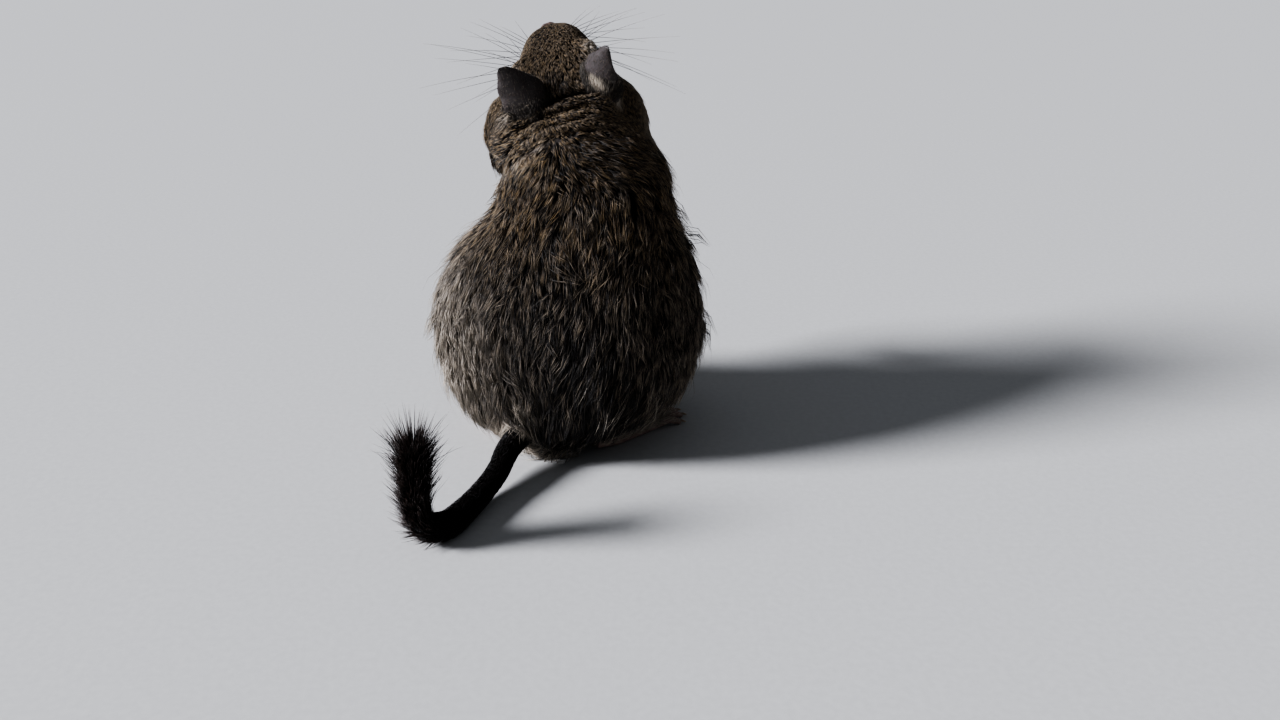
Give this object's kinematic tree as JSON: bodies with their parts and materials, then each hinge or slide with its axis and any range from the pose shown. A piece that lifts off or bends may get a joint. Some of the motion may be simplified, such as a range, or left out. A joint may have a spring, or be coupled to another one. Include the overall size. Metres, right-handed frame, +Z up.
{
  "type": "degu",
  "caption": "Small brush-tailed rodent sitting upright on its haunches with its head lifted and turned, forepaws before the chest and a bushy tail curling up behind.",
  "frame": {"origin": "on the floor, at the flat under the rump that the animal sits on", "axes": "+Z up, +Y the way that the animal faces, +X its right"},
  "size_m": [0.0917, 0.139, 0.1286],
  "materials": {
    "coat": "short dense agouti fur, banded golden brown and black",
    "ear_skin": "thin bare grey-brown skin with sparse fine hair",
    "foot_skin": "granular bare skin with fine pale grey hair, horn claws",
    "tail_coat": "coarse black hair, longer towards the brush",
    "eye": "wet, near-black and glossy"
  },
  "bodies": {
    "root": {"head": "coat", "neck": "coat", "torso": "coat", "thigh_left": "coat", "thigh_right": "coat", "foreleg_left": "coat", "foreleg_right": "coat", "forepaw_left": "foot_skin", "forepaw_right": "foot_skin", "hind_foot_left": "foot_skin", "hind_foot_right": "foot_skin", "ear_left": "ear_skin", "ear_right": "ear_skin", "eye_left": "eye", "eye_right": "eye", "tail_root": "tail_coat", "tail_middle": "tail_coat", "tail_bend": "tail_coat", "tail_tuft": "tail_coat"}
  },
  "joints": []
}
